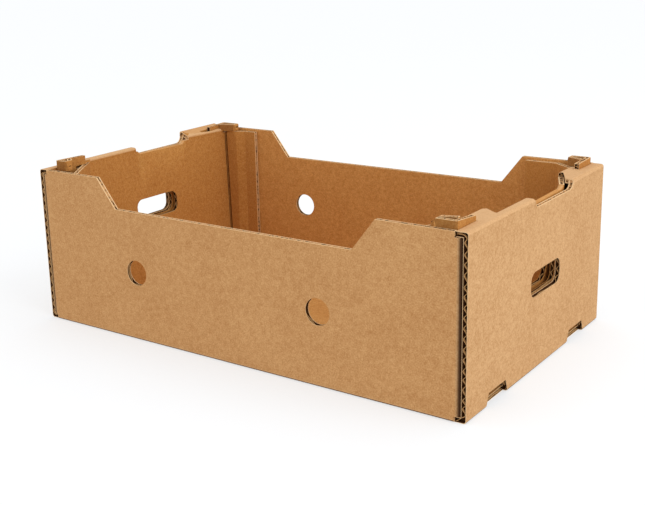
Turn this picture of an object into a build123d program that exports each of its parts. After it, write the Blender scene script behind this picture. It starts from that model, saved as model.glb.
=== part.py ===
from build123d import *
import os

# A produce tray folded from one sheet of single-wall corrugated board. X runs along the
# long walls, Y across them and Z up, in millimetres. The origin is the middle of the
# underside. Near an end, "in" is the distance inward from that end's outer face.

# Overall size of the folded tray
LENGTH = 500.0
WIDTH = 300.0
HEIGHT = 165.0

# The sheet, the clearance between faces that lie together, the inside radius of a fold
BOARD = 4.8
GAP = 0.5
FOLD = 0.1

# Long walls: lowered centre with sloped shoulders, and round vent holes
LOW_HEIGHT = 134.8
LOW_LENGTH = 281.0
SHOULDER_RUN = 23.5
VENT_DIAMETER = 26.0
VENT_SPACING = 220.0
VENT_SHIFT = -6.0
FRONT_VENT_HEIGHT = 72.0
BACK_VENT_HEIGHT = 78.0

# End walls: raw side edges of the outer panel, the gap between it and the corner flaps,
# and the outside radii of the upright corners and of all other folds
EDGE_SETBACK = 2.0
CORNER_GAP = 1.2
CORNER_RADIUS = 4.7
FOLD_RADIUS = 2.6

# Recess in the top of each end wall
RIGHT_RECESS_FRONT = -20.0
RIGHT_RECESS_BACK = 70.0
LEFT_RECESS_FRONT = -13.0
LEFT_RECESS_BACK = 74.0
RECESS_DEPTH = 9.0
RECESS_SLANT = 5.0
RECESS_FRONT_RADIUS = 3.0
RECESS_BACK_RADIUS = 8.0
INNER_RECESS_INSET = 6.0
INNER_RECESS_DROP = 0.5

# Rolled-over tops of the end walls: wide shelves at the back, a flat tab at the right
# front, and the rise of the left back shelf's outer fold
SHELF_DEPTH = 25.0
SHELF_CUT_START = 8.7
SHELF_FOLD_FRONT = 93.0
SHELF_FOLD_BACK = 29.0
RIGHT_SLOT_CLEAR = 7.5
LEFT_SLOT_CLEAR = 13.0
TAB_BACK = -71.0
TAB_BACK_RUN = 9.0
TAB_CORNER = 3.0
LEFT_BACK_RISE = 4.5
LEFT_FOLD_START = 11.6
LEFT_FOLD_END = 19.3

# Hand holes
HAND_LENGTH = 66.0
HAND_HEIGHT = 24.5
HAND_RADIUS = 9.0
HAND_CENTRE = 10.0
RIGHT_HAND_HEIGHT = 84.0
LEFT_HAND_HEIGHT = 92.5

# Notches along the bottom of the outer end panels
NOTCH_TOP = 34.0
NOTCH_BOTTOM = 43.0
NOTCH_HEIGHT = 12.5
NOTCH_OFFSET = 88.7

# Corner flaps of the long walls, and the L-shaped stacking lugs that they double back into
CORNER_FLAP = 46.0
LUG_GAP = 0.9
LUG_END_LEG = 38.0
LUG_WALL_LEG = 38.0
LUG_SPREAD = 6.5
LUG_SLOPE = 2.0
LUG_DROP = 1.0
RIGHT_FRONT_LUG_SLOPE = 6.0
RIGHT_FRONT_LUG_RISE = 7.0
RIGHT_FRONT_LUG_DROP = 2.5
LEFT_FRONT_LUG_SHIFT = 8.5
LEFT_FRONT_LUG_RISE = 8.0
LEFT_FRONT_END_LEG = 52.0
LEFT_FRONT_WALL_LEG = 28.0
RIGHT_BACK_WALL_LEG = 34.0
RIGHT_BACK_LUG_RISE = 6.5
LEFT_BACK_LUG_RISE = 5.5

# Inner end panels: side flaps on the long walls, the lean towards the foot, and the tuck
# flap behind the hand hole
SIDE_FLAP = 80.0
SIDE_FLAP_BACK_LEFT = 64.0
SIDE_FLAP_DROP = 2.6
FLAP_STEP = 10.0
DIAGONAL_END = 46.0
DIAGONAL_CREASE = 25.0
FRONT_CREASE = 64.0
FRONT_CREASE_FOOT = 40.0
PANEL_FOOT = 23.5
RIGHT_RECESS_IN = 9.6
CREASE_WIDTH = 2.4
CREASE_DEPTH = 3.0
TUCK_HEIGHT = 108.0
TUCK_FRONT = -60.0
TUCK_BACK = 50.0

# Sizes that follow from the ones above
half_board = BOARD / 2
bend = half_board + FOLD
half_length = LENGTH / 2
half_width = WIDTH / 2
layer = BOARD + GAP
rim_mid = HEIGHT - half_board
under_rim = HEIGHT - BOARD
panel_edge = half_width - EDGE_SETBACK
first_layer_in = layer + half_board
corner_in = BOARD + CORNER_GAP + half_board
lug_in = corner_in + BOARD + LUG_GAP
lug_face_in = lug_in - half_board
ledge_in = lug_face_in - GAP
slot_in = lug_in + half_board + GAP
shelf_in = SHELF_DEPTH - half_board
wall_layer = half_width - layer - half_board
inner_wall_layer = wall_layer - layer
floor_clear = BOARD + GAP
side_flap_top = HEIGHT - SIDE_FLAP_DROP
fold_start = BOARD + CORNER_GAP + BOARD
lip_in = half_board + bend
lean = (PANEL_FOOT - first_layer_in) / (under_rim - floor_clear)


def board_strip(points, radii):
    """Face of one board thickness along a line with rounded folds."""
    return trace(FilletPolyline(*points, radius=radii), line_width=BOARD)


def mitre_point(points, index, side):
    """Corner of a mitred strip beside one point of its centre line."""
    last = len(points) - 1
    here = Vector(*points[index])
    before = here - Vector(*points[index - 1]) if index > 0 else None
    after = Vector(*points[index + 1]) - here if index < last else None
    before = (before or after).normalized()
    after = (after or before).normalized()
    across = (before + after).normalized().rotate(Axis.Z, 90)
    reach = half_board / across.dot(after.rotate(Axis.Z, 90))
    corner = here + across * (side * reach)
    return (corner.X, corner.Y)


def mitred_strip(points):
    """Face of one board thickness along a line with sharp creases."""
    order = range(len(points))
    left = [mitre_point(points, index, 1) for index in order]
    right = [mitre_point(points, index, -1) for index in order]
    return make_face(Polyline(*left, *reversed(right), close=True))


def creased_strip(points):
    """Face of one board thickness along a line, its folds sharp inside and round outside."""
    face = mitred_strip(points)
    for index in range(1, len(points) - 1):
        before = Vector(*points[index]) - Vector(*points[index - 1])
        after = Vector(*points[index + 1]) - Vector(*points[index])
        outer_side = -1 if before.cross(after).Z > 0 else 1
        outside = mitre_point(points, index, outer_side)
        face = round_corner(face, outside, FOLD_RADIUS)
    return face


def round_corner(face, place, radius):
    """Face with the corner nearest to a place rounded."""
    return fillet(face.vertices().sort_by_distance((*place, 0))[0], radius)


def plan_prism(face, bottom, top):
    """Upright solid between two heights on a face drawn in plan."""
    return extrude(Pos(0, 0, bottom) * face, amount=top - bottom, dir=(0, 0, 1))


def cross_prism(face, front, back):
    """Solid between two Y places on a face drawn in X and Z."""
    placed = Pos(0, front, 0) * (Plane.XZ * face)
    return extrude(placed, amount=back - front, dir=(0, 1, 0))


def inward(points):
    """Right-hand end: turn distances in from the end's face into X."""
    return [(half_length - distance, other) for distance, other in points]


def trough():
    """Bottom and long walls, with the lowered centres and the vent holes."""
    mid_y = half_width - half_board
    section = creased_strip(
        [(-mid_y, HEIGHT), (-mid_y, half_board), (mid_y, half_board), (mid_y, HEIGHT)]
    )
    straight = half_length - fold_start
    placed = Pos(-straight, 0, 0) * (Plane.YZ * section)
    walls = extrude(placed, amount=2 * straight, dir=(1, 0, 0))
    walls -= wall_top_cut()
    for y_side, height in ((-1, FRONT_VENT_HEIGHT), (1, BACK_VENT_HEIGHT)):
        for x_side in (-1, 1):
            x = VENT_SHIFT + x_side * VENT_SPACING / 2
            y = y_side * mid_y
            vent = Rot(90, 0, 0) * Cylinder(VENT_DIAMETER / 2, 2 * BOARD)
            walls -= Pos(x, y, height) * vent
    return walls


def wall_top_cut():
    """What is cut off above the long walls' profile, across the whole width."""
    low_half = LOW_LENGTH / 2
    high_start = low_half + SHOULDER_RUN
    rim_end = half_length - lug_face_in
    above = HEIGHT + BOARD
    corner_top = under_rim - GAP
    outline = [
        (-low_half, LOW_HEIGHT),
        (low_half, LOW_HEIGHT),
        (high_start, HEIGHT),
        (high_start, above),
        (-high_start, above),
        (-high_start, HEIGHT),
    ]
    cut = cross_prism(make_face(Polyline(*outline, close=True)), -half_width - 1, half_width + 1)
    for side in (-1, 1):
        width = half_length - rim_end
        corner = Rectangle(width, above - corner_top, align=(Align.MIN, Align.MIN))
        corner = Pos(rim_end if side > 0 else -half_length, corner_top) * corner
        cut += cross_prism(corner, -half_width - 1, half_width + 1)
    return cut


def outer_panel():
    """Right-hand end: bottom edge strip, outer panel and the lip of its top fold."""
    points = inward(
        [
            (fold_start + BOARD, half_board),
            (half_board, half_board),
            (half_board, rim_mid),
            (lip_in + FOLD, rim_mid),
        ]
    )
    panel = cross_prism(creased_strip(points), -panel_edge, panel_edge)
    for side in (-1, 1):
        notch = Polyline(
            (side * NOTCH_OFFSET - NOTCH_BOTTOM / 2, -1),
            (side * NOTCH_OFFSET - NOTCH_BOTTOM / 2, 0),
            (side * NOTCH_OFFSET - NOTCH_TOP / 2, NOTCH_HEIGHT),
            (side * NOTCH_OFFSET + NOTCH_TOP / 2, NOTCH_HEIGHT),
            (side * NOTCH_OFFSET + NOTCH_BOTTOM / 2, 0),
            (side * NOTCH_OFFSET + NOTCH_BOTTOM / 2, -1),
            close=True,
        )
        placed = Pos(half_length + 1, 0, 0) * (Plane.YZ * make_face(notch))
        panel -= extrude(placed, amount=BOARD + FOLD + 1, dir=(-1, 0, 0))
    return panel


def flat_top(outline, gap_below=0.0):
    """Flat part of the top, from its outline in plan, or the room that it needs."""
    face = make_face(Polyline(*inward(outline), close=True))
    return plan_prism(face, under_rim - gap_below, HEIGHT)


def rolled_top(front, back):
    """Both folds of the top between two places, each given as Y, fold line and rise."""
    faces = []
    for y, fold_in, rise in (front, back):
        points = inward(
            [
                (half_board, under_rim - BOARD),
                (half_board, rim_mid + rise),
                (fold_in, rim_mid),
                (fold_in, under_rim - BOARD),
            ]
        )
        faces.append(Pos(0, y, 0) * (Plane.XZ * creased_strip(points)))
    return loft(faces, ruled=True)


def inner_panel(top_line, foot_line):
    """Right-hand end: inner panel that leans from its foot out to the rim, with its flaps."""
    foot = Pos(0, 0, floor_clear) * mitred_strip(inward(foot_line))
    top = Pos(0, 0, under_rim - FOLD) * mitred_strip(inward(top_line))
    return loft([foot, top], ruled=True)


def flap_top(points, bottom=under_rim - FOLD):
    """Raw top of a side flap, a little lower than the folded rim beside it."""
    return plan_prism(mitred_strip(inward(points)), bottom, side_flap_top)


def crease_groove():
    """Gap that the left back flap's crease leaves beside the inner panel."""
    near = inner_wall_layer - half_board - GAP
    far = near + GAP + CREASE_DEPTH
    faces = []
    for height, panel_in in ((floor_clear, PANEL_FOOT), (side_flap_top, LEFT_FOLD_END)):
        start = panel_in + half_board
        stop = start + CREASE_WIDTH
        outline = Polyline(*inward([(start, near), (stop, near), (stop, far), (start, far)]), close=True)
        faces.append(Pos(0, 0, height) * make_face(outline))
    return loft(faces, ruled=True)


def tuck_flap():
    """Third layer behind the hand hole: the inner panel's foot, folded back up."""
    start = 4 * BOARD
    points = inward(
        [
            (PANEL_FOOT - lean * start, floor_clear + start),
            (PANEL_FOOT, floor_clear + half_board),
            (first_layer_in, floor_clear + half_board),
            (first_layer_in, TUCK_HEIGHT),
        ]
    )
    return cross_prism(creased_strip(points), TUCK_FRONT, TUCK_BACK)


def recess_cut(near_in, far_in, front, back, depth):
    """Cutter for the recess in one layer of the end wall's top."""
    bottom = HEIGHT - depth
    corners = [(front + RECESS_SLANT, bottom), (back, bottom)]
    above = [(back, HEIGHT + BOARD), (front, HEIGHT + BOARD), (front, HEIGHT)]
    face = make_face(Polyline(*corners, *above, close=True))
    face = round_corner(face, corners[0], RECESS_FRONT_RADIUS)
    face = round_corner(face, corners[1], RECESS_BACK_RADIUS)
    placed = Pos(half_length - far_in, 0, 0) * (Plane.YZ * face)
    return extrude(placed, amount=far_in - near_in, dir=(1, 0, 0))


def hand_hole(height):
    """Cutter for the hand hole through every layer of the end wall."""
    face = RectangleRounded(HAND_LENGTH, HAND_HEIGHT, HAND_RADIUS)
    placed = Pos(half_length + 1, HAND_CENTRE, height) * (Plane.YZ * face)
    return extrude(placed, amount=SHELF_DEPTH + 1, dir=(-1, 0, 0))


def corner_board():
    """Right-hand front corner: flap of the long wall, doubled back to carry the lug."""
    wall_y = -half_width + half_board
    turn_y = -half_width + CORNER_FLAP - half_board
    turn = (lug_in - corner_in) / 2 - FOLD
    corner_line = [(fold_start + BOARD, wall_y), (corner_in, wall_y), (corner_in, wall_y + 2 * BOARD)]
    outside = (half_length - corner_in + half_board, -half_width)
    face = round_corner(mitred_strip(inward(corner_line)), outside, CORNER_RADIUS)
    face += board_strip(
        inward(
            [
                (corner_in, wall_y + half_board),
                (corner_in, turn_y),
                (lug_in, turn_y),
                (lug_in, -wall_layer),
                (LUG_WALL_LEG, -wall_layer),
            ]
        ),
        (turn, turn, bend),
    )
    return plan_prism(face, floor_clear, under_rim - GAP)


def lug(rise, drop=LUG_DROP, slope=LUG_SLOPE, wall_leg=LUG_WALL_LEG, end_leg=LUG_END_LEG, shift=0):
    """Right-hand front corner: doubled board that stands above the rim as an L."""
    end_y = -half_width + end_leg
    leg_y = -wall_layer + shift
    free_in = wall_leg - half_board
    top = HEIGHT + rise
    turn = layer / 2 - FOLD
    outer_legs = [(lug_in, end_y), (lug_in, leg_y), (free_in - layer, leg_y)]
    doubled = [
        (slot_in, leg_y),
        (free_in, leg_y),
        (free_in, leg_y + layer),
        (slot_in, leg_y + layer + LUG_SPREAD),
    ]
    face = creased_strip(inward(outer_legs)) + board_strip(inward(doubled), (turn, turn))
    raised = plan_prism(face, side_flap_top + GAP, top)
    stem = [(lug_in, -half_width + LUG_END_LEG), (lug_in, leg_y)]
    if shift == 0:
        stem.append((free_in, leg_y))
    raised += plan_prism(mitred_strip(inward(stem)), under_rim - 2 * BOARD, side_flap_top + GAP)
    free_end = Polyline(
        (half_length - wall_leg - 1, HEIGHT),
        (half_length - wall_leg, HEIGHT),
        (half_length - wall_leg + slope, top),
        (half_length - wall_leg - 1, top),
        close=True,
    )
    raised -= cross_prism(make_face(free_end), -half_width, 0)
    fall = Polyline((end_y, top - drop), (end_y, top), (leg_y, top), close=True)
    placed = Pos(half_length - slot_in, 0, 0) * (Plane.YZ * make_face(fall))
    return raised - extrude(placed, amount=slot_in, dir=(1, 0, 0))


def end_wall(top, top_line, foot_line, flaps, recess, hand_height, front_lug, back_lug):
    """One end of the tray, drawn as the right-hand one."""
    front, inner_front, back = recess
    end = outer_panel() + top
    end += inner_panel(top_line, foot_line)
    end += flaps
    end += tuck_flap()
    end -= recess_cut(-1, layer, front, back, RECESS_DEPTH)
    end -= recess_cut(
        layer,
        SHELF_DEPTH + 1,
        inner_front,
        back - INNER_RECESS_INSET,
        RECESS_DEPTH - INNER_RECESS_DROP,
    )
    end -= hand_hole(hand_height)
    end += corner_board() + front_lug
    end += mirror(corner_board() + back_lug, about=Plane.XZ)
    return end


crease = -half_width + FRONT_CREASE
foot_crease = -half_width + FRONT_CREASE_FOOT
recess_inner_back = RIGHT_RECESS_BACK - INNER_RECESS_INSET
slot = half_width - LUG_END_LEG - GAP
fold_back = half_width - SHELF_FOLD_BACK
flat_end = shelf_in - bend
narrow_in = layer + BOARD

front_flap = [(SIDE_FLAP, -wall_layer), (DIAGONAL_END, -wall_layer)]
back_flap = [(DIAGONAL_END, wall_layer), (SIDE_FLAP, wall_layer)]
left_back_flap = [
    (LUG_WALL_LEG + GAP, inner_wall_layer),
    (LUG_WALL_LEG + GAP + FLAP_STEP, wall_layer),
    (SIDE_FLAP_BACK_LEFT, wall_layer),
]

tab_outline = [
    (lip_in, -panel_edge),
    (ledge_in, -panel_edge),
    (ledge_in, -slot),
    (SHELF_DEPTH, -slot),
    (SHELF_DEPTH, TAB_BACK - TAB_CORNER),
    (SHELF_DEPTH - TAB_CORNER, TAB_BACK),
    (narrow_in, TAB_BACK - TAB_BACK_RUN),
    (lip_in, TAB_BACK - TAB_BACK_RUN),
]
right_shelf_outline = [
    (lip_in, RIGHT_RECESS_BACK),
    (SHELF_CUT_START, RIGHT_RECESS_BACK),
    (flat_end, SHELF_FOLD_FRONT),
    (flat_end, fold_back),
    (slot_in + GAP, fold_back - BOARD / 2),
    (slot_in + GAP, slot),
    (ledge_in - GAP, slot - RIGHT_SLOT_CLEAR),
    (ledge_in, slot - RIGHT_SLOT_CLEAR + BOARD / 2),
    (ledge_in, panel_edge),
    (lip_in, panel_edge),
]
right_front = flat_top(tab_outline)
right_front += rolled_top(
    (TAB_BACK - TAB_BACK_RUN, first_layer_in, 0),
    (RIGHT_RECESS_FRONT, first_layer_in, 0),
)
right_back = flat_top(right_shelf_outline)
right_back += rolled_top((SHELF_FOLD_FRONT, shelf_in, 0), (fold_back, shelf_in, 0))
right_crease = (shelf_in, half_width - DIAGONAL_CREASE)
right_line = [
    *front_flap,
    (first_layer_in, crease),
    (first_layer_in, RIGHT_RECESS_FRONT),
    (RIGHT_RECESS_IN, recess_inner_back),
    (shelf_in, SHELF_FOLD_FRONT),
    right_crease,
    *back_flap,
]
right_foot = [
    *front_flap,
    (PANEL_FOOT, foot_crease),
    (PANEL_FOOT, RIGHT_RECESS_FRONT),
    (PANEL_FOOT, recess_inner_back),
    (PANEL_FOOT, SHELF_FOLD_FRONT),
    (PANEL_FOOT, half_width - DIAGONAL_CREASE),
    *back_flap,
]
right_flaps = flap_top([*front_flap, (first_layer_in, crease)]) + flap_top([right_crease, *back_flap])
right_flaps -= flat_top(tab_outline, GAP) + flat_top(right_shelf_outline, GAP)

ledge_front = flat_top(
    [
        (lip_in, -panel_edge),
        (ledge_in, -panel_edge),
        (ledge_in, crease - GAP),
        (lip_in, crease - GAP),
    ]
)
left_back_room = plan_prism(
    make_face(
        Polyline(
            *inward(
                [
                    (ledge_in, slot - LEFT_SLOT_CLEAR),
                    (slot_in - half_board, slot - LEFT_SLOT_CLEAR),
                    (slot_in, slot),
                    (slot_in, inner_wall_layer - layer),
                    (LUG_WALL_LEG, inner_wall_layer - layer),
                    (LUG_WALL_LEG, half_width),
                    (ledge_in, half_width),
                ]
            ),
            close=True,
        )
    ),
    under_rim - 2 * BOARD,
    HEIGHT + LEFT_BACK_RISE,
)
left_front = ledge_front + rolled_top((crease, first_layer_in, 0), (LEFT_RECESS_FRONT, first_layer_in, 0))
left_back = rolled_top(
    (LEFT_RECESS_BACK, LEFT_FOLD_START, LEFT_BACK_RISE),
    (inner_wall_layer, LEFT_FOLD_END, LEFT_BACK_RISE),
)
left_back += rolled_top(
    (inner_wall_layer, LEFT_FOLD_END, LEFT_BACK_RISE),
    (panel_edge, LEFT_FOLD_END, 0),
)
left_back -= left_back_room
left_line = [
    *front_flap,
    (first_layer_in, crease),
    (first_layer_in, LEFT_RECESS_FRONT),
    (LEFT_FOLD_START, LEFT_RECESS_BACK),
    (LEFT_FOLD_END, inner_wall_layer),
    *left_back_flap,
]
left_foot = [
    *front_flap,
    (PANEL_FOOT, foot_crease),
    (PANEL_FOOT, LEFT_RECESS_FRONT),
    (PANEL_FOOT, LEFT_RECESS_BACK),
    (PANEL_FOOT, inner_wall_layer),
    *left_back_flap,
]
left_flaps = flap_top([*front_flap, (first_layer_in, crease)])
left_flaps += flap_top([(LEFT_FOLD_END + BOARD, inner_wall_layer), *left_back_flap])

right_end = end_wall(
    right_front + right_back,
    right_line,
    right_foot,
    right_flaps,
    (RIGHT_RECESS_FRONT, RIGHT_RECESS_FRONT + INNER_RECESS_INSET, RIGHT_RECESS_BACK),
    RIGHT_HAND_HEIGHT,
    lug(RIGHT_FRONT_LUG_RISE, drop=RIGHT_FRONT_LUG_DROP, slope=RIGHT_FRONT_LUG_SLOPE),
    lug(RIGHT_BACK_LUG_RISE, wall_leg=RIGHT_BACK_WALL_LEG),
)
left_end = end_wall(
    left_front + left_back,
    left_line,
    left_foot,
    left_flaps,
    (LEFT_RECESS_FRONT, LEFT_RECESS_FRONT, LEFT_RECESS_BACK),
    LEFT_HAND_HEIGHT,
    lug(
        LEFT_FRONT_LUG_RISE,
        wall_leg=LEFT_FRONT_WALL_LEG,
        end_leg=LEFT_FRONT_END_LEG,
        shift=LEFT_FRONT_LUG_SHIFT,
    ),
    lug(LEFT_BACK_LUG_RISE),
)
left_end -= crease_groove()
folded_tray = trough() + right_end + mirror(left_end, about=Plane.YZ)

os.makedirs("parts", exist_ok=True)
export_step(folded_tray, "parts/folded_tray.step")
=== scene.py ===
import logging
import math
from collections import defaultdict
from dataclasses import dataclass, field
from enum import Enum, IntEnum
from typing import Any

import bmesh
import bpy
from mathutils import Matrix, Vector
from mathutils.bvhtree import BVHTree


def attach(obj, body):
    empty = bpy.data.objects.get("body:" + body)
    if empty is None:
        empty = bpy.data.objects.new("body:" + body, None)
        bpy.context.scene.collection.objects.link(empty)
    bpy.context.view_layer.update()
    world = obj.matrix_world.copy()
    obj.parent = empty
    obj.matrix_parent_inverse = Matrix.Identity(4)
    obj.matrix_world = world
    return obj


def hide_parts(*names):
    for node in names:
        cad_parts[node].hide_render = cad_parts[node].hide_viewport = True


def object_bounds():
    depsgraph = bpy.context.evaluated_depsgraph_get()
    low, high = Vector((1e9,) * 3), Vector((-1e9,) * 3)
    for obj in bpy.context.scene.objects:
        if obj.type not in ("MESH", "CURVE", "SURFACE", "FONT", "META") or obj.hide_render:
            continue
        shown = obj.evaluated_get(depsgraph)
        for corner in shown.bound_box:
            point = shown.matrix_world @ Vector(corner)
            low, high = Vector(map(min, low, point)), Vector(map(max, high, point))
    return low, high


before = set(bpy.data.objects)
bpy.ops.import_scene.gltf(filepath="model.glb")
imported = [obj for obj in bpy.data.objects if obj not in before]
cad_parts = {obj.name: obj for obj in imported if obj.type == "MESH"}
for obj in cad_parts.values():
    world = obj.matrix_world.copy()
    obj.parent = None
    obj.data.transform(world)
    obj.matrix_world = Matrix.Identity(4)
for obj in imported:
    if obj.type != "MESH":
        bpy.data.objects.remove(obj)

# Looks of a produce tray folded from one sheet of brown corrugated board. Lengths are in
# metres, unless a name ends in _mm, _px or _deg.

log = logging.getLogger("tray_scene")
cad_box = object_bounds()

BODY = "root"
TRAY_NODE = "folded_tray"
PHOTO_WIDTH_PX = 645
MM = 0.001
UP = Vector((0, 0, 1))
WHITE = (1, 1, 1, 1)
# Nominal thickness and flute pitch of A-flute board. Both are chosen, not measured.
BOARD_MM = 4.8
FLUTE_PITCH_MM = 9.0


def linear(code: str) -> tuple[float, float, float, float]:
    """Turn an sRGB hex colour into Blender's linear colour.

    Args:
        code: Six hex digits, with or without a leading mark.

    Returns:
        Linear red, green and blue, and an alpha of 1.
    """
    digits = code.lstrip("#")
    channels = [int(digits[start:start + 2], 16) / 255 for start in (0, 2, 4)]
    values = [
        value / 12.92 if value <= 0.04045 else ((value + 0.055) / 1.055) ** 2.4
        for value in channels
    ]
    return values[0], values[1], values[2], 1.0


def add_node(tree: Any, kind: str, settings: dict | None = None, links: dict | None = None) -> Any:
    """Add one node to a tree, with its settings, socket values and links.

    Args:
        tree: The node tree that gets the node.
        kind: Blender's identifier of the node.
        settings: Attribute names, or socket names and numbers, with their values.
        links: Input sockets, by name or number, with the output socket that feeds each.

    Returns:
        The new node.
    """
    node = tree.nodes.new(kind)
    for name, value in (settings or {}).items():
        if isinstance(name, str) and hasattr(node, name):
            setattr(node, name, value)
        else:
            node.inputs[name].default_value = value
    for name, source in (links or {}).items():
        tree.links.new(source, node.inputs[name])
    return node


def new_material(name: str) -> tuple[Any, Any, Any]:
    """Make an empty node material.

    Args:
        name: The material's name.

    Returns:
        The material, its tree and its Principled shader, linked to the output.
    """
    material = bpy.data.materials.new(name)
    material.use_nodes = True
    tree = material.node_tree
    tree.nodes.clear()
    shader = add_node(tree, "ShaderNodeBsdfPrincipled")
    add_node(tree, "ShaderNodeOutputMaterial", links={"Surface": shader.outputs["BSDF"]})
    return material, tree, shader


def in_cad_box(place: Vector) -> Vector:
    """Bring a place that rounding or an inset carried out of the CAD's box back to its side."""
    return Vector([min(max(place[i], cad_box[0][i]), cad_box[1][i]) for i in range(3)])


@dataclass(frozen=True)
class KraftLiner:
    """Uncoated kraft linerboard: matt brown paper with a fine mottle and pale fibres."""

    name: str
    dark: str
    pale: str
    # Pale fibre colour, also mixed into the folds as stretched liner and painted highlight, and into
    # the tops of the ends as painted highlight
    fold: str = "#DDB283"
    # Painted shade colour, mixed in where the fold attribute is below zero
    corner: str = "#3A200D"
    fold_share: float = 0.55
    corner_share: float = 0.95
    roughness: float = 0.86
    specular: float = 0.2
    grain_mm: float = 1.4
    grain_swing: float = 2.2
    mottle_mm: float = 4.0
    mottle_swing: float = 1.2
    cloud_mm: float = 55.0
    cloud_swing: float = 0.5
    middle: float = 0.5
    fibre_mm: float = 0.45
    fibre_length: float = 6.0
    fleck_from: float = 0.60
    fleck_full: float = 0.82
    fleck_share: float = 0.45
    rib_strength: float = 0.5
    rib_height_mm: float = 0.03
    tooth_strength: float = 0.35
    tooth_height_mm: float = 0.12

    def make(self) -> Any:
        """Build the material.

        The mottle breaks up the flat faces as in the photo. The "fold" attribute makes the
        folds paler, partly as stretched liner and partly as painted highlight, paints a highlight
        on the level tops of the ends, and below zero paints shade dark into the creases, corners,
        foot and lug sides. Real fibres are finer than 0.1 mm, so the flecks are drawn coarser.
        """
        material, tree, shader = new_material(self.name)
        place = add_node(tree, "ShaderNodeTexCoord").outputs["Object"]
        sheet = add_node(tree, "ShaderNodeUVMap", {"uv_map": "sheet"}).outputs[0]
        total = None
        scales = (
            (self.grain_mm, self.grain_swing),
            (self.mottle_mm, self.mottle_swing),
            (self.cloud_mm, self.cloud_swing),
        )
        for size, swing in scales:
            noise = add_node(
                tree,
                "ShaderNodeTexNoise",
                {"Scale": 1 / (size * MM), "Detail": 2.0, "Roughness": 0.6},
                {"Vector": place},
            )
            part = add_node(
                tree,
                "ShaderNodeMath",
                {"operation": "MULTIPLY_ADD", 1: swing, 2: -swing / 2},
                {0: noise.outputs[0]},
            )
            added = add_node(
                tree,
                "ShaderNodeMath",
                {"operation": "ADD", 1: self.middle},
                {0: part.outputs[0]},
            )
            if total is not None:
                tree.links.new(total, added.inputs[1])
            total = added.outputs[0]
        plain = add_node(
            tree,
            "ShaderNodeMix",
            {"data_type": "RGBA", 6: linear(self.dark), 7: linear(self.pale)},
            {0: total},
        )
        stretched = add_node(
            tree,
            "ShaderNodeMapping",
            {"Scale": (1 / self.fibre_length, 1.0, 1.0)},
            {"Vector": sheet},
        )
        fibre = add_node(
            tree,
            "ShaderNodeTexNoise",
            {"Scale": 1 / (self.fibre_mm * MM), "Detail": 1.0},
            {"Vector": stretched.outputs[0]},
        )
        fleck = add_node(
            tree,
            "ShaderNodeMapRange",
            {1: self.fleck_from, 2: self.fleck_full, 4: self.fleck_share},
            {0: fibre.outputs[0]},
        )
        flecked = add_node(
            tree,
            "ShaderNodeMix",
            {"data_type": "RGBA", 7: linear(self.fold)},
            {0: fleck.outputs[0], 6: plain.outputs[2]},
        )
        fold = add_node(tree, "ShaderNodeAttribute", {"attribute_name": "fold"})
        coloured = flecked
        # Above zero the fold attribute mixes in the pale colour (stretched liner and painted
        # highlight), below zero the dark painted shade
        marks = ((self.fold, 1.0, self.fold_share), (self.corner, -1.0, self.corner_share))
        for colour, full, share in marks:
            ends = {1: 0.0, 2: full, 4: share}
            bent = add_node(tree, "ShaderNodeMapRange", ends, {0: fold.outputs["Fac"]})
            coloured = add_node(
                tree,
                "ShaderNodeMix",
                {"data_type": "RGBA", 7: linear(colour)},
                {0: bent.outputs[0], 6: coloured.outputs[2]},
            )
        across = add_node(tree, "ShaderNodeSeparateXYZ", links={0: sheet})
        turn = 2 * math.pi / (FLUTE_PITCH_MM * MM)
        angle = add_node(
            tree,
            "ShaderNodeMath",
            {"operation": "MULTIPLY", 1: turn},
            {0: across.outputs[0]},
        )
        washboard = add_node(tree, "ShaderNodeMath", {"operation": "SINE"}, {0: angle.outputs[0]})
        ribs = add_node(
            tree,
            "ShaderNodeBump",
            {"Strength": self.rib_strength, "Distance": self.rib_height_mm * MM},
            {"Height": washboard.outputs[0]},
        )
        tooth = add_node(
            tree,
            "ShaderNodeBump",
            {"Strength": self.tooth_strength, "Distance": self.tooth_height_mm * MM},
            {"Height": total, "Normal": ribs.outputs[0]},
        )
        tree.links.new(coloured.outputs[2], shader.inputs["Base Color"])
        tree.links.new(tooth.outputs[0], shader.inputs["Normal"])
        shader.inputs["Roughness"].default_value = self.roughness
        shader.inputs["Specular IOR Level"].default_value = self.specular
        return material


@dataclass(frozen=True)
class CutPaper:
    """Paper where a knife or a crease has opened it: plain colour and fully matt."""

    name: str
    colour: str
    pale: str
    gap: str = ""
    grain_mm: float = 1.2
    gap_mm: float = 2.6
    gap_from: float = 0.49
    gap_full: float = 0.56
    gap_share: float = 0.9
    roughness: float = 0.95
    specular: float = 0.1

    def make(self) -> Any:
        """Build the material, with a little grain so that the cut isn't a flat band.

        A gap colour paints shade as short dark dashes where a flute still stands open.
        """
        material, tree, shader = new_material(self.name)
        place = add_node(tree, "ShaderNodeTexCoord").outputs["Object"]
        noise = add_node(
            tree,
            "ShaderNodeTexNoise",
            {"Scale": 1 / (self.grain_mm * MM), "Detail": 2.0},
            {"Vector": place},
        )
        mixed = add_node(
            tree,
            "ShaderNodeMix",
            {"data_type": "RGBA", 6: linear(self.colour), 7: linear(self.pale)},
            {0: noise.outputs[0]},
        )
        if self.gap:
            spots = add_node(
                tree,
                "ShaderNodeTexNoise",
                {"Scale": 1 / (self.gap_mm * MM), "Detail": 1.0},
                {"Vector": place},
            )
            open_here = add_node(
                tree,
                "ShaderNodeMapRange",
                {1: self.gap_from, 2: self.gap_full, 4: self.gap_share},
                {0: spots.outputs[0]},
            )
            mixed = add_node(
                tree,
                "ShaderNodeMix",
                {"data_type": "RGBA", 7: linear(self.gap)},
                {0: open_here.outputs[0], 6: mixed.outputs[2]},
            )
        tree.links.new(mixed.outputs[2], shader.inputs["Base Color"])
        shader.inputs["Roughness"].default_value = self.roughness
        shader.inputs["Specular IOR Level"].default_value = self.specular
        return material


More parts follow.
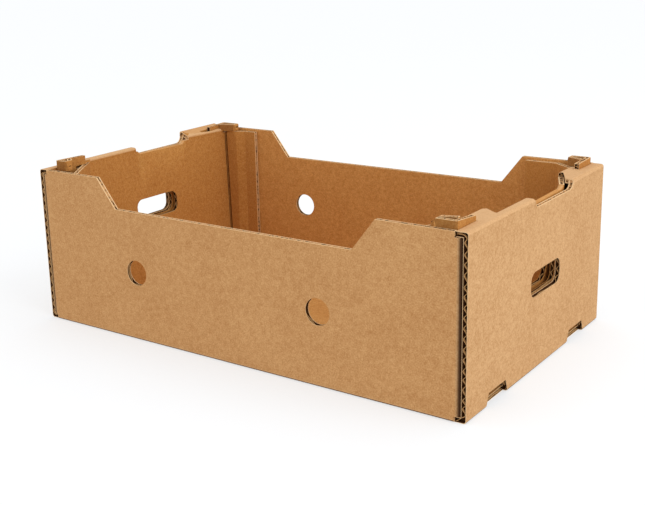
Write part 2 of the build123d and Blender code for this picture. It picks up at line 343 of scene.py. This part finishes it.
SIDE_LINER = KraftLiner("kraft_liner_uncoated", "#AD7A48", "#C99A66")
# The end liner is a paler copy of the liner, painted light; the inner and panel liners are darker,
# browner copies, painted shade.
END_LINER_PAINTED_LIGHT = KraftLiner("kraft_liner_ends_painted_light", "#B28454", "#CFA474")
INNER_LINER_PAINTED_SHADE = KraftLiner("kraft_liner_inside_painted_shade", "#B67A3C", "#D39B58")
PANEL_LINER_PAINTED_SHADE = KraftLiner("kraft_liner_end_panels_painted_shade", "#A66B2F", "#C08846")
CUT_LINER = CutPaper("kraft_liner_cut_edge", "#D9AE7C", "#EBCB9F")
FLUTE_PAPER = CutPaper("fluting_medium_paper", "#A87B4A", "#C59A68")
# Dark paper on the sunk floor of each open raw edge: painted shade inside the board
BOARD_INSIDE_PAINTED_SHADE = CutPaper("inside_of_board_shaded", "#4A2D16", "#5C3A1D")
# The dark dashes of the pressed flutes are painted shade in flutes that still stand open
PRESSED_FLUTES = CutPaper("flutes_pressed_by_knife", "#BC8C59", "#D6A876", "#4A2D16")


@dataclass(frozen=True)
class BoardSizes:
    """Sizes of the corrugated board and of its raw edges, in metres."""

    thickness: float = BOARD_MM * MM
    lip: float = 0.5 * MM
    pressed_lip: float = 1.3 * MM
    seam: float = 0.03 * MM
    flute_pitch: float = FLUTE_PITCH_MM * MM
    wave_height: float = 1.45 * MM
    medium_thickness: float = 0.4 * MM
    open_depth: float = 5.0 * MM
    pressed_depth: float = 0.6 * MM
    open_drop: float = 0.35 * MM
    pressed_drop: float = 0.25 * MM
    seed: float = 4.0


class Slot(IntEnum):
    """Material slots of the tray's shell."""

    # END is the paler liner, painted light; INNER and PANEL are browner liners, painted shade; INSIDE
    # is the dark channel floor, painted shade.
    SIDE = 0
    END = 1
    INNER = 2
    PANEL = 3
    LIP = 4
    INSIDE = 5
    PRESSED = 6


class Flutes(Enum):
    """Way that the flutes run in a part of the folded sheet."""

    UPRIGHT = "upright"
    LYING = "lying"


@dataclass(frozen=True)
class SheetPlan:
    """Where each part of the sheet lies in the folded tray, to tell which way its flutes run."""

    half_length: float = 250.0 * MM
    half_width: float = 150.0 * MM
    outer_panel_in: float = 5.5 * MM
    corner_board_in: float = 17.2 * MM
    lug_in: float = 38.3 * MM
    side_flap_from: float = 60.0 * MM
    side_flap_in: float = 98.0 * MM
    wall_from: float = 144.7 * MM
    lug_from: float = 132.0 * MM
    corner_board_from: float = 103.5 * MM
    shelf_from: float = 159.8 * MM
    rim_top: float = 165.6 * MM
    bottom_top: float = 5.5 * MM
    hand_hole: tuple[float, float] = (65.0 * MM, 115.0 * MM)
    hand_hole_reach: float = 50.0 * MM
    lug_margin: float = 8.0 * MM
    lug_root: float = 150.0 * MM
    least_slope: float = 0.05

    def flutes_at(self, place: Vector) -> Flutes:
        """Tell which way the flutes run at a place.

        Args:
            place: A point on the tray, in the row frame.

        Returns:
            UPRIGHT on the long walls, the corner flaps and the lugs, LYING elsewhere.
        """
        inward = self.half_length - abs(place.x)
        across = abs(place.y)
        if place.z > self.rim_top and across > self.corner_board_from - self.lug_margin:
            return Flutes.UPRIGHT
        if place.z < self.bottom_top or inward < self.outer_panel_in:
            return Flutes.LYING
        if place.z < self.shelf_from and inward < self.corner_board_in:
            return Flutes.UPRIGHT if across > self.corner_board_from else Flutes.LYING
        if inward < self.lug_in and across > self.lug_from and place.z > self.lug_root:
            return Flutes.UPRIGHT
        return Flutes.UPRIGHT if across > self.wall_from else Flutes.LYING

    def on_flap_end(self, place: Vector) -> bool:
        """Tell whether a place is at the free end of a side flap, inside the tray."""
        inward = self.half_length - abs(place.x)
        return self.side_flap_from < inward < self.side_flap_in and abs(place.y) < self.wall_from

    def in_hand_hole(self, place: Vector) -> bool:
        """Tell whether a place is on the hand hole's inner layers, which lie in its shade."""
        low, high = self.hand_hole
        inward = self.half_length - abs(place.x)
        near = abs(place.y) < self.hand_hole_reach
        return near and low < place.z < high and inward > self.outer_panel_in

    def wave_direction(self, place: Vector, board_normal: Vector) -> Vector:
        """Direction in the board along which its wave counts, square to the flutes."""
        level = UP.cross(board_normal)
        level = level.normalized() if level.length > self.least_slope else Vector((0, 1, 0))
        if self.flutes_at(place) is Flutes.UPRIGHT:
            return level
        return board_normal.cross(level).normalized()


@dataclass
class RailPoint:
    """Point on the middle line of a raw edge."""

    place: Vector
    out: Vector
    across: Vector
    phase: float = 0.0


@dataclass
class RawEdge:
    """One strip of the tray's surface where the board was cut."""

    faces: list
    rails: list[list[RailPoint]]
    pressed: bool = False

    def depth(self, board: BoardSizes) -> float:
        """Depth of the channel between the liners, less where the knife pressed it shut."""
        return board.pressed_depth if self.pressed else board.open_depth

    def drop(self, board: BoardSizes) -> float:
        """Distance from the cut down to the medium's edge."""
        return board.pressed_drop if self.pressed else board.open_drop


@dataclass
class TrayShell:
    """Skin of the tray: the CAD mesh, with its raw edges opened between the two liners."""

    board: BoardSizes = field(default_factory=BoardSizes)
    plan: SheetPlan = field(default_factory=SheetPlan)
    sharp_angle: float = math.radians(38)
    merge_distance: float = 0.004 * MM
    sliver: float = 0.04 * MM
    sample_step: float = 2.0 * MM
    probe: float = 0.3 * MM
    probe_in: float = 0.02 * MM
    probe_depth: float = 0.1 * MM
    matched_share: float = 0.5
    upward_share: float = 0.55
    same_side: float = 0.5
    width_spread: float = 0.15
    least_depth: float = 6.0 * MM
    twin_distance: float = 1.6 * MM
    least_edge: float = 0.1 * MM
    least_bend: float = math.radians(3)
    upright_share: float = 0.7
    foot_facing: float = 0.25
    level_facing: float = 0.9
    lug_side_facing: float = 0.5
    fold_strip: float = 1.7 * MM
    corner_reach: float = 1.6 * MM
    crease_height: float = 60.0 * MM
    crease_angle: float = math.radians(12)
    crease_strip: float = 0.9 * MM
    crease_margin: float = 4.0 * MM
    crease_from: float = 130.0 * MM
    cut_tolerance: float = 1e-7
    crease_shade: float = 0.8
    fold_pale: float = 0.7
    top_highlight: float = 0.8
    lug_shade: float = 0.35
    inside_from: float = 145.5 * MM
    end_strip: float = 40.0 * MM
    under_facing: float = 0.3
    panel_facing: float = 0.5
    end_top_facing: float = 0.5
    end_side_facing: float = 0.3

    def build(self, finishes: list) -> tuple[Any, list[RawEdge]]:
        """Make the shell's object.

        Args:
            finishes: Materials in the order of the shell's slots.

        Returns:
            The object, and the raw edges that were opened.
        """
        mesh = self.merged_mesh()
        tree = BVHTree.FromBMesh(mesh)
        regions = self.smooth_regions(mesh)
        edges = [raw for raw in (self.read_raw_edge(region, tree) for region in regions) if raw]
        self.drop_twins(edges)
        self.mark_folds(mesh, edges)
        self.mark_tops(mesh)
        self.choose_liners(mesh)
        self.open_edges(mesh, edges)
        self.shade_creases(mesh)
        for vertex in mesh.verts:
            vertex.co = in_cad_box(vertex.co)
        self.lay_sheet_map(mesh)
        data = bpy.data.meshes.new("tray_shell")
        mesh.to_mesh(data)
        mesh.free()
        for finish in finishes:
            data.materials.append(finish)
        shell = bpy.data.objects.new("tray_shell", data)
        bpy.context.collection.objects.link(shell)
        log.info("tray shell: %d faces, %d raw edges", len(data.polygons), len(edges))
        return shell, edges

    def merged_mesh(self) -> Any:
        """Copy the CAD node's mesh, with the layers it needs, and close the seams of its faces."""
        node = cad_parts[TRAY_NODE]
        mesh = bmesh.new()
        mesh.from_mesh(node.data)
        mesh.transform(node.matrix_world)
        mesh.faces.layers.float.new("fold")
        mesh.loops.layers.uv.new("sheet")
        bmesh.ops.remove_doubles(mesh, verts=mesh.verts, dist=self.merge_distance)
        bmesh.ops.dissolve_degenerate(mesh, edges=mesh.edges, dist=self.sliver)
        bmesh.ops.recalc_face_normals(mesh, faces=mesh.faces)
        mesh.faces.ensure_lookup_table()
        return mesh

    def smooth_regions(self, mesh: Any) -> list[list]:
        """Group the faces that meet at less than the sharp angle."""
        seen = set()
        regions = []
        for start in mesh.faces:
            if start in seen:
                continue
            seen.add(start)
            region = [start]
            for face in region:
                for edge in face.edges:
                    if len(edge.link_faces) != 2 or edge.calc_face_angle(0) > self.sharp_angle:
                        continue
                    for other in edge.link_faces:
                        if other not in seen:
                            seen.add(other)
                            region.append(other)
            regions.append(region)
        return regions

    def read_raw_edge(self, region: list, tree: Any) -> RawEdge | None:
        """Find the middle lines of a region, if it is as wide as the board and deep below."""
        inside = set(region)
        rim = [e for face in region for e in face.edges if sum(f in inside for f in e.link_faces) == 1]
        if not rim:
            return None
        total = sum(edge.calc_length() for edge in rim)
        rails = []
        matched = 0.0
        for loop in self.rim_loops(rim):
            run = []
            runs = [run]
            for edge, start, end in loop:
                count = max(1, math.ceil(edge.calc_length() / self.sample_step))
                for index in range(count):
                    place = start.co.lerp(end.co, (index + 0.5) / count)
                    point = self.probe_edge(edge, inside, place, tree)
                    if point:
                        run.append(point)
                        matched += edge.calc_length() / count
                    elif run:
                        run = []
                        runs.append(run)
            rails.extend(run for run in runs if len(run) > 2)
            if len(runs) == 1 and len(run) > 2:
                run.append(RailPoint(run[0].place, run[0].out, run[0].across))
        if matched < self.matched_share * total:
            return None
        area = sum(face.calc_area() for face in region)
        rise = sum(face.normal.z * face.calc_area() for face in region)
        free_flap = all(self.plan.on_flap_end(face.calc_center_median()) for face in region)
        return RawEdge(region, rails, rise > self.upward_share * area or free_flap)

    def probe_edge(self, edge: Any, inside: set, place: Vector, tree: Any) -> RailPoint | None:
        """Measure the board below one point of a region's rim."""
        face = next(f for f in edge.link_faces if f in inside)
        along = (edge.verts[1].co - edge.verts[0].co).normalized()
        across = face.normal.cross(along)
        if across.dot(face.calc_center_median() - place) < 0:
            across = -across
        below = place - face.normal * self.probe + across * self.probe_in
        width = tree.ray_cast(below, across)[3]
        limit = self.width_spread * self.board.thickness
        if width is None or abs(width - self.board.thickness) > limit:
            return None
        middle = place + across * width / 2
        depth = tree.ray_cast(middle - face.normal * self.probe_depth, -face.normal)[3]
        if depth is None or depth < self.least_depth:
            return None
        return RailPoint(middle, face.normal.copy(), across)

    @staticmethod
    def rim_loops(rim: list) -> list[list[tuple]]:
        """Put a region's rim edges in order, one list of (edge, start, end) for each loop."""
        at_vertex = defaultdict(list)
        for edge in rim:
            for vertex in edge.verts:
                at_vertex[vertex].append(edge)
        unused = set(rim)
        loops = []
        for first in rim:
            if first not in unused:
                continue
            unused.discard(first)
            start, end = first.verts
            loop = [(first, start, end)]
            following = True
            while following:
                following = next((e for e in at_vertex[end] if e in unused), None)
                if following:
                    unused.discard(following)
                    start, end = end, following.other_vert(end)
                    loop.append((following, start, end))
            loops.append(loop)
        return loops

    def drop_twins(self, edges: list[RawEdge]) -> None:
        """Keep one middle line where both sides of a strip gave one, and count its wave."""
        rails = sorted(((raw, rail) for raw in edges for rail in raw.rails), key=lambda p: -len(p[1]))
        kept = defaultdict(list)
        for raw in edges:
            raw.rails = []
        for raw, rail in rails:
            run = []
            for point in [*rail, None]:
                if point is not None and not self.near_kept(point, kept):
                    run.append(point)
                    continue
                if len(run) > 2:
                    self.count_wave(run)
                    raw.rails.append(run)
                    for done in run:
                        kept[self.cell(done.place)].append(done)
                run = []

    def cell(self, place: Vector) -> tuple[int, int, int]:
        """Cell of a coarse grid that holds a place."""
        return tuple(math.floor(value / self.twin_distance) for value in place)

    def near_kept(self, point: RailPoint, kept: dict) -> bool:
        """Tell whether a kept rail already passes a point on the same side of the board."""
        x, y, z = self.cell(point.place)
        steps = (-1, 0, 1)
        for near in ((x + i, y + j, z + k) for i in steps for j in steps for k in steps):
            for other in kept.get(near, ()):
                close = (other.place - point.place).length < self.twin_distance
                if close and other.out.dot(point.out) > self.same_side:
                    return True
        return False

    def count_wave(self, run: list[RailPoint]) -> None:
        """Count the wave's phase along a rail, so that it goes on round each fold."""
        turn = 2 * math.pi / self.board.flute_pitch
        first = run[0]
        first.phase = first.place.dot(self.plan.wave_direction(first.place, first.across)) * turn
        for before, point in zip(run, run[1:]):
            if point.across.dot(before.across) < 0:
                point.across = -point.across
            direction = self.plan.wave_direction(point.place, point.across)
            point.phase = before.phase + (point.place - before.place).dot(direction) * turn

    def mark_folds(self, mesh: Any, edges: list[RawEdge]) -> None:
        """Mark the narrow faces of the folds: level ones pale, as stretched liner and painted
        highlight; upright corners dark as painted shade, and the foot dark as painted shadow.
        """
        layer = mesh.faces.layers.float["fold"]
        cut = {face for raw in edges for face in raw.faces}
        for face in mesh.faces:
            for edge in face.edges:
                length = edge.calc_length()
                if len(edge.link_faces) != 2 or length < self.least_edge:
                    continue
                bent = self.least_bend < edge.calc_face_angle(0) < self.sharp_angle
                if not bent or 2 * face.calc_area() / length > self.fold_strip:
                    continue
                face.smooth = True
                if face in cut:
                    continue
                place = face.calc_center_median()
                if abs(edge.verts[1].co.z - edge.verts[0].co.z) > self.upright_share * length:
                    # Painted shade in the groove beside the outer corner, darkest deepest in
                    deep = (self.plan.half_width - abs(place.y)) / self.corner_reach
                    face[layer] = -min(1.0, deep) if abs(place.y) > self.plan.wall_from else 0.0
                # Painted shadow under the fold at the foot
                elif place.z < self.plan.bottom_top and face.normal.z < -self.foot_facing:
                    face[layer] = -self.crease_shade
                else:
                    face[layer] = self.fold_pale

    def mark_tops(self, mesh: Any) -> None:
        """Mark the level tops of the ends paler as a painted highlight, and the long sides of the lugs
        darker as painted shade.
        """
        layer = mesh.faces.layers.float["fold"]
        for face in mesh.faces:
            place = face.calc_center_median()
            if self.plan.half_length - abs(place.x) >= self.plan.lug_in:
                continue
            if place.z > self.plan.shelf_from and face.normal.z > self.level_facing:
                # Painted highlight on the level tops
                face[layer] = self.top_highlight
            elif place.z > self.plan.rim_top and abs(face.normal.y) > self.lug_side_facing:
                face[layer] = -self.lug_shade

    def shade_creases(self, mesh: Any) -> None:
        """Cut a narrow strip beside each upright crease inside the tray, and mark it as in shade."""
        layer = mesh.faces.layers.float["fold"]
        creases = []
        for edge in mesh.edges:
            low, high = sorted(edge.verts, key=lambda vertex: vertex.co.z)
            tall = high.co.z - low.co.z > self.crease_height and len(edge.link_faces) == 2
            if tall and edge.calc_face_angle_signed(0) < -self.crease_angle:
                place = (low.co + high.co) / 2
                inward = self.plan.half_length - abs(place.x)
                nearest = self.plan.corner_board_in - self.crease_margin
                if nearest < inward < self.plan.lug_in and abs(place.y) > self.crease_from:
                    creases.append((edge, low, (high.co - low.co).normalized()))
        for edge, low, along in creases:
            for face in list(edge.link_faces):
                if 2 * face.calc_area() / edge.calc_length() > self.crease_strip:
                    aside = face.normal.cross(along)
                    if aside.dot(face.calc_center_median() - low.co) < 0:
                        aside = -aside
                    bmesh.ops.bisect_plane(
                        mesh,
                        geom=[face, *face.edges, *face.verts],
                        dist=self.cut_tolerance,
                        plane_co=low.co + aside * self.crease_strip,
                        plane_no=aside,
                    )
            for face in edge.link_faces:
                face[layer] = -self.crease_shade
        log.info("creases in shade: %d", len(creases))

    def choose_liners(self, mesh: Any) -> None:
        """Give each face its liner: paler on the end panels as painted light, and browner inside the
        tray, on the inner panels and on the lugs as painted shade.
        """
        for face in mesh.faces:
            place = face.calc_center_median()
            inward = self.plan.half_length - abs(place.x)
            near_end = inward < self.end_strip
            under = place.z < self.plan.shelf_from or face.normal.z < self.under_facing
            between = abs(place.y) < self.inside_from and place.z > MM
            inside = inward > self.plan.outer_panel_in and between
            if place.z > self.plan.rim_top and near_end:
                face.material_index = Slot.PANEL
            elif inside and under:
                panel = inward < self.plan.side_flap_in and abs(face.normal.z) < self.panel_facing
                panel = panel and abs(place.y) < self.plan.wall_from
                face.material_index = Slot.PANEL if panel else Slot.INNER
            elif near_end and self.faces_end(face.normal):
                face.material_index = Slot.END
            else:
                face.material_index = Slot.SIDE

    def faces_end(self, normal: Vector) -> bool:
        """Tell whether a face of an end looks up or along the tray, and not across it; such faces get
        the paler liner, painted light.
        """
        return normal.z > self.end_top_facing or abs(normal.x) > self.end_side_facing

    def open_edges(self, mesh: Any, edges: list[RawEdge]) -> None:
        """Leave a lip of each liner round every raw edge and sink what lies between."""
        for pressed in (True, False):
            group = [raw for raw in edges if raw.pressed is pressed]
            faces = [face for raw in group for face in raw.faces]
            width = self.board.pressed_lip if pressed else self.board.lip
            skin = self.skin_of(faces)
            facing = {face: face.normal * face.calc_area() for face in faces}
            lips = self.inset(mesh, faces, width)
            self.keep_on(skin, faces)
            for face in lips:
                # Lips deep in a hand hole take the darker panel liner: painted shade
                deep = self.plan.in_hand_hole(face.calc_center_median())
                face.material_index = Slot.PANEL if deep else Slot.LIP
                face.smooth = False
            # Open channel floors are dark as painted shade; pressed ones get painted shade dashes
            for face in [*self.inset(mesh, faces, self.board.seam), *faces]:
                face.material_index = Slot.PRESSED if pressed else Slot.INSIDE
                face.smooth = False
            self.sink(facing, group[0].depth(self.board))

    @staticmethod
    def skin_of(faces: list) -> Any:
        """Search tree of some faces as they are now."""
        places = [vertex.co.copy() for face in faces for vertex in face.verts]
        corners = []
        for face in faces:
            start = corners[-1][-1] + 1 if corners else 0
            corners.append(tuple(range(start, start + len(face.verts))))
        return BVHTree.FromPolygons(places, corners)

    @staticmethod
    def keep_on(skin: Any, faces: list) -> None:
        """Bring vertices that an inset carried past a narrow place back to where the faces were."""
        for vertex in {vertex for face in faces for vertex in face.verts}:
            near = skin.find_nearest(vertex.co)[0]
            if near is not None:
                vertex.co = near

    @staticmethod
    def inset(mesh: Any, faces: list, thickness: float) -> list:
        """Inset a region of faces and return its new border faces."""
        made = bmesh.ops.inset_region(
            mesh,
            faces=faces,
            use_boundary=True,
            use_even_offset=False,
            thickness=thickness,
        )
        return made["faces"]

    @staticmethod
    def sink(facing: dict, depth: float) -> None:
        """Move faces straight into the board."""
        outward = defaultdict(Vector)
        for face, weight in facing.items():
            for vertex in face.verts:
                outward[vertex] += weight
        for vertex, direction in outward.items():
            vertex.co -= direction.normalized() * depth

    def lay_sheet_map(self, mesh: Any) -> None:
        """Lay a UV map in metres: U square to the flutes and V along them."""
        layer = mesh.loops.layers.uv["sheet"]
        for face in mesh.faces:
            across = self.plan.wave_direction(face.calc_center_median(), face.normal)
            along = face.normal.cross(across)
            for loop in face.loops:
                place = loop.vert.co
                loop[layer].uv = (place.dot(across), place.dot(along))


@dataclass
class FluteMedium:
    """Wavy middle paper of the board, seen in every raw edge."""

    board: BoardSizes = field(default_factory=BoardSizes)
    step: float = 0.9 * MM
    drift: float = 1.5
    drift_gain: float = 4.0
    drift_length: float = 24.0 * MM

    def build(self, edges: list[RawEdge], finish: Any) -> Any:
        """Make the medium's object from the rails of all raw edges.

        Args:
            edges: The raw edges, with their rails.
            finish: Material of the medium's paper.

        Returns:
            The medium as a plain mesh object.
        """
        medium = bpy.data.objects.new("flute_medium", self.rail_mesh(edges))
        bpy.context.collection.objects.link(medium)
        modifier = medium.modifiers.new("wave", "NODES")
        tree = self.wave_tree()
        values = {
            "Wave Height": self.board.wave_height,
            "Step": self.step,
            "Drift": self.drift,
            "Drift Scale": 1 / self.drift_length,
            "Seed": self.board.seed,
            "Paper": finish,
        }
        modifier.node_group = tree
        for item in tree.interface.items_tree:
            if item.in_out == "INPUT" and item.name in values:
                modifier[item.identifier] = values[item.name]
        solid = medium.modifiers.new("paper_thickness", "SOLIDIFY")
        solid.thickness = self.board.medium_thickness
        solid.offset = 0.0
        graph = bpy.context.evaluated_depsgraph_get()
        data = bpy.data.meshes.new_from_object(medium.evaluated_get(graph), depsgraph=graph)
        medium.modifiers.clear()
        medium.data = data
        log.info("flute medium: %d faces", len(data.polygons))
        return medium

    def rail_mesh(self, edges: list[RawEdge]) -> Any:
        """Make a mesh of the rails that carries what the wave needs at each point."""
        points = []
        links = []
        drops = []
        depths = []
        for raw in edges:
            drop = raw.drop(self.board)
            for rail in raw.rails:
                links.extend((len(points) + i, len(points) + i + 1) for i in range(len(rail) - 1))
                points.extend(rail)
                drops.extend([drop] * len(rail))
                depths.extend([raw.depth(self.board) - drop] * len(rail))
        data = bpy.data.meshes.new("flute_rails")
        data.from_pydata([point.place for point in points], links, [])
        vectors = {"out": [p.out for p in points], "across": [p.across for p in points]}
        for name, values in vectors.items():
            flat = [number for value in values for number in value]
            data.attributes.new(name, "FLOAT_VECTOR", "POINT").data.foreach_set("vector", flat)
        numbers = {"phase": [p.phase for p in points], "drop": drops, "depth": depths}
        for name, values in numbers.items():
            data.attributes.new(name, "FLOAT", "POINT").data.foreach_set("value", values)
        return data

    def wave_tree(self) -> Any:
        """Build the node tree that bends each rail into a wave and gives it depth."""
        tree = bpy.data.node_groups.new("flute_wave", "GeometryNodeTree")
        tree.interface.new_socket("Geometry", in_out="OUTPUT", socket_type="NodeSocketGeometry")
        tree.interface.new_socket("Rails", in_out="INPUT", socket_type="NodeSocketGeometry")
        for name in ("Wave Height", "Step", "Drift", "Drift Scale", "Seed"):
            tree.interface.new_socket(name, in_out="INPUT", socket_type="NodeSocketFloat")
        tree.interface.new_socket("Paper", in_out="INPUT", socket_type="NodeSocketMaterial")
        given = add_node(tree, "NodeGroupInput").outputs
        read = {}
        for name in ("phase", "drop", "depth"):
            settings = {"data_type": "FLOAT", 0: name}
            read[name] = add_node(tree, "GeometryNodeInputNamedAttribute", settings)
        for name in ("out", "across"):
            settings = {"data_type": "FLOAT_VECTOR", 0: name}
            read[name] = add_node(tree, "GeometryNodeInputNamedAttribute", settings)
        value = {name: node.outputs[0] for name, node in read.items()}
        curve = add_node(tree, "GeometryNodeMeshToCurve", links={0: given["Rails"]})
        fine = add_node(
            tree,
            "GeometryNodeResampleCurve",
            {"mode": "LENGTH"},
            {"Curve": curve.outputs[0], "Length": given["Step"]},
        )
        noise = add_node(
            tree,
            "ShaderNodeTexNoise",
            {"noise_dimensions": "4D", "Detail": 1.0},
            {"W": given["Seed"], "Scale": given["Drift Scale"]},
        )
        centred = add_node(
            tree,
            "ShaderNodeMath",
            {"operation": "SUBTRACT", 1: 0.5},
            {0: noise.outputs[0]},
        )
        pull = add_node(
            tree,
            "ShaderNodeMath",
            {"operation": "MULTIPLY"},
            {0: centred.outputs[0], 1: given["Drift"]},
        )
        strong = add_node(
            tree,
            "ShaderNodeMath",
            {"operation": "MULTIPLY", 1: self.drift_gain},
            {0: pull.outputs[0]},
        )
        phase = add_node(
            tree,
            "ShaderNodeMath",
            {"operation": "ADD"},
            {0: value["phase"], 1: strong.outputs[0]},
        )
        wave = add_node(tree, "ShaderNodeMath", {"operation": "SINE"}, {0: phase.outputs[0]})
        sway = add_node(
            tree,
            "ShaderNodeMath",
            {"operation": "MULTIPLY"},
            {0: wave.outputs[0], 1: given["Wave Height"]},
        )
        sideways = add_node(
            tree,
            "ShaderNodeVectorMath",
            {"operation": "SCALE"},
            {0: value["across"], "Scale": sway.outputs[0]},
        )
        lower = add_node(tree, "ShaderNodeMath", {"operation": "MULTIPLY", 1: -1.0}, {0: value["drop"]})
        sunk = add_node(
            tree,
            "ShaderNodeVectorMath",
            {"operation": "SCALE"},
            {0: value["out"], "Scale": lower.outputs[0]},
        )
        move = add_node(
            tree,
            "ShaderNodeVectorMath",
            {"operation": "ADD"},
            {0: sideways.outputs[0], 1: sunk.outputs[0]},
        )
        placed = add_node(
            tree,
            "GeometryNodeSetPosition",
            links={"Geometry": fine.outputs[0], "Offset": move.outputs[0]},
        )
        wire = add_node(tree, "GeometryNodeCurveToMesh", links={"Curve": placed.outputs[0]})
        down = add_node(tree, "ShaderNodeMath", {"operation": "MULTIPLY", 1: -1.0}, {0: value["depth"]})
        inward = add_node(
            tree,
            "ShaderNodeVectorMath",
            {"operation": "SCALE"},
            {0: value["out"], "Scale": down.outputs[0]},
        )
        ribbon = add_node(
            tree,
            "GeometryNodeExtrudeMesh",
            {"mode": "EDGES"},
            {"Mesh": wire.outputs[0], "Offset": inward.outputs[0]},
        )
        real = add_node(tree, "GeometryNodeRealizeInstances", links={0: ribbon.outputs[0]})
        dressed = add_node(
            tree,
            "GeometryNodeSetMaterial",
            links={"Geometry": real.outputs[0], "Material": given["Paper"]},
        )
        add_node(tree, "NodeGroupOutput", links={0: dressed.outputs[0]})
        return tree


@dataclass(frozen=True)
class LightTable:
    """White acrylic table lit from below: matt and neutral, so that shadows on it stay light."""

    name: str = "opal_acrylic_light_table"
    colour: str = "#B1B4B7"
    glow: float = 0.53
    roughness: float = 0.9

    def make(self) -> Any:
        """Build the material."""
        material, _, shader = new_material(self.name)
        shader.inputs["Base Color"].default_value = linear(self.colour)
        shader.inputs["Emission Color"].default_value = WHITE
        shader.inputs["Emission Strength"].default_value = self.glow
        shader.inputs["Roughness"].default_value = self.roughness
        shader.inputs["Specular IOR Level"].default_value = 0.0
        return material


@dataclass(frozen=True)
class PhotoCamera:
    """Camera at the photograph's viewing angle, fitted with the tray held at its chosen size."""

    place: tuple[float, float, float] = (0.6198, -0.8902, 0.3964)
    yaw_deg: float = 36.641
    pitch_deg: float = 14.890
    roll_deg: float = -1.754
    focal_px: float = 1076.07
    shift_x_px: float = 39.48
    shift_y_px: float = -31.6
    sensor_mm: float = 36.0

    def build(self) -> None:
        """Create the camera and make it the scene's own."""
        yaw, pitch, roll = (math.radians(a) for a in (self.yaw_deg, self.pitch_deg, self.roll_deg))
        right = Vector((math.cos(yaw), math.sin(yaw), 0))
        level = Vector((-math.sin(yaw), math.cos(yaw), 0))
        ahead = level * math.cos(pitch) - UP * math.sin(pitch)
        up = right.cross(ahead)
        across = right * math.cos(roll) + up * math.sin(roll)
        above = up * math.cos(roll) - right * math.sin(roll)
        data = bpy.data.cameras.new("product_camera")
        camera = bpy.data.objects.new("product_camera", data)
        bpy.context.collection.objects.link(camera)
        turn = Matrix((across, above, -ahead)).transposed().to_4x4()
        camera.matrix_world = Matrix.Translation(self.place) @ turn
        data.sensor_width = self.sensor_mm
        data.lens = self.focal_px * self.sensor_mm / PHOTO_WIDTH_PX
        data.shift_x = self.shift_x_px / PHOTO_WIDTH_PX
        data.shift_y = self.shift_y_px / PHOTO_WIDTH_PX
        bpy.context.scene.camera = camera


@dataclass
class SoftStudio:
    """Light table, a bright world and one large soft lamp."""

    floor_half: float = 6.0
    world_level: float = 1.0
    lamp_place: tuple[float, float, float] = (1.7, -0.1, 1.3)
    lamp_size: float = 1.6
    lamp_power: float = 13.0
    aim_height: float = 0.08
    backdrop_level: float = 1.0

    def build(self) -> None:
        """Make the floor, the lamp and the world."""
        half = self.floor_half
        mesh = bpy.data.meshes.new("studio_floor")
        corners = [(-half, -half, 0), (half, -half, 0), (half, half, 0), (-half, half, 0)]
        mesh.from_pydata(corners, [], [(0, 1, 2, 3)])
        floor = bpy.data.objects.new("studio_floor", mesh)
        bpy.context.collection.objects.link(floor)
        mesh.materials.append(LightTable().make())
        self.add_lamp()
        self.light_world()

    def add_lamp(self) -> None:
        """Hang the soft lamp and point it at the tray."""
        data = bpy.data.lights.new("soft_lamp", "AREA")
        data.energy = self.lamp_power
        data.size = self.lamp_size
        lamp = bpy.data.objects.new("soft_lamp", data)
        bpy.context.collection.objects.link(lamp)
        lamp.location = self.lamp_place
        aim = UP * self.aim_height - lamp.location
        lamp.rotation_euler = aim.to_track_quat("-Z", "Y").to_euler()

    def light_world(self) -> None:
        """Light the room evenly, and show the camera plain white behind the floor."""
        world = bpy.data.worlds.new("soft_room")
        bpy.context.scene.world = world
        world.use_nodes = True
        tree = world.node_tree
        tree.nodes.clear()
        path = add_node(tree, "ShaderNodeLightPath")
        levels = (self.world_level, self.backdrop_level)
        room, backdrop = (
            add_node(tree, "ShaderNodeBackground", {"Color": WHITE, "Strength": level})
            for level in levels
        )
        seen = add_node(
            tree,
            "ShaderNodeMath",
            {"operation": "MAXIMUM"},
            {0: path.outputs["Is Camera Ray"], 1: path.outputs["Is Glossy Ray"]},
        )
        mix = add_node(
            tree,
            "ShaderNodeMixShader",
            links={0: seen.outputs[0], 1: room.outputs[0], 2: backdrop.outputs[0]},
        )
        add_node(tree, "ShaderNodeOutputWorld", links={"Surface": mix.outputs[0]})


def main() -> None:
    """Build the scene and attach the tray's pieces to the root body."""
    logging.basicConfig(level=logging.INFO)
    PhotoCamera().build()
    SoftStudio().build()
    board = BoardSizes()
    order = (SIDE_LINER, END_LINER_PAINTED_LIGHT, INNER_LINER_PAINTED_SHADE, PANEL_LINER_PAINTED_SHADE, CUT_LINER, BOARD_INSIDE_PAINTED_SHADE, PRESSED_FLUTES)
    finishes = [finish.make() for finish in order]
    shell, edges = TrayShell(board).build(finishes)
    medium = FluteMedium(board).build(edges, FLUTE_PAPER.make())
    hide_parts(TRAY_NODE)
    for piece in (shell, medium):
        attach(piece, BODY)
    bpy.context.scene.view_settings.view_transform = "Standard"


if __name__ == "__main__":
    main()
